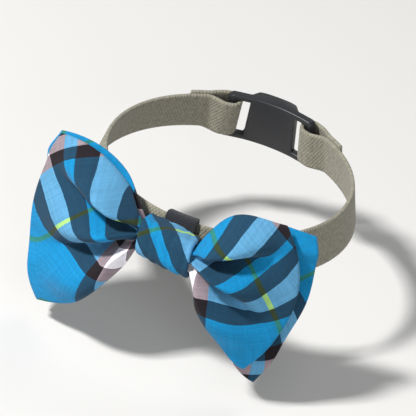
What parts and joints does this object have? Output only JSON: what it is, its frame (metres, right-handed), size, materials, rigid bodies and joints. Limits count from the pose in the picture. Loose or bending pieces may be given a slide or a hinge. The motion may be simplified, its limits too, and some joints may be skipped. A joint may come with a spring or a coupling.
{
  "type": "pet bow tie collar",
  "caption": "Pet collar with a double plaid cloth bow tie, pinched by a cloth knot, on a webbing neck strap with a plastic clasp at the nape.",
  "frame": {"origin": "centre of the neck loop, at mid width of the strap", "axes": "+Z along the neck towards the head, -Y the way the bow faces, +X to the bow's left as the wearer has it"},
  "size_m": [0.1043, 0.1291, 0.0625],
  "materials": {
    "plaid_cloth": "woven cotton, blue, black and white plaid on the bias, matt",
    "webbing": "khaki grey woven webbing, matt",
    "elastic": "ribbed elastic, matt",
    "clasp_plastic": "moulded plastic, fine satin"
  },
  "bodies": {
    "root": {"neck_strap": "webbing", "clasp": "clasp_plastic", "slide_loop": "elastic", "back_bow": "plaid_cloth", "front_bow": "plaid_cloth", "knot": "plaid_cloth"}
  },
  "joints": []
}
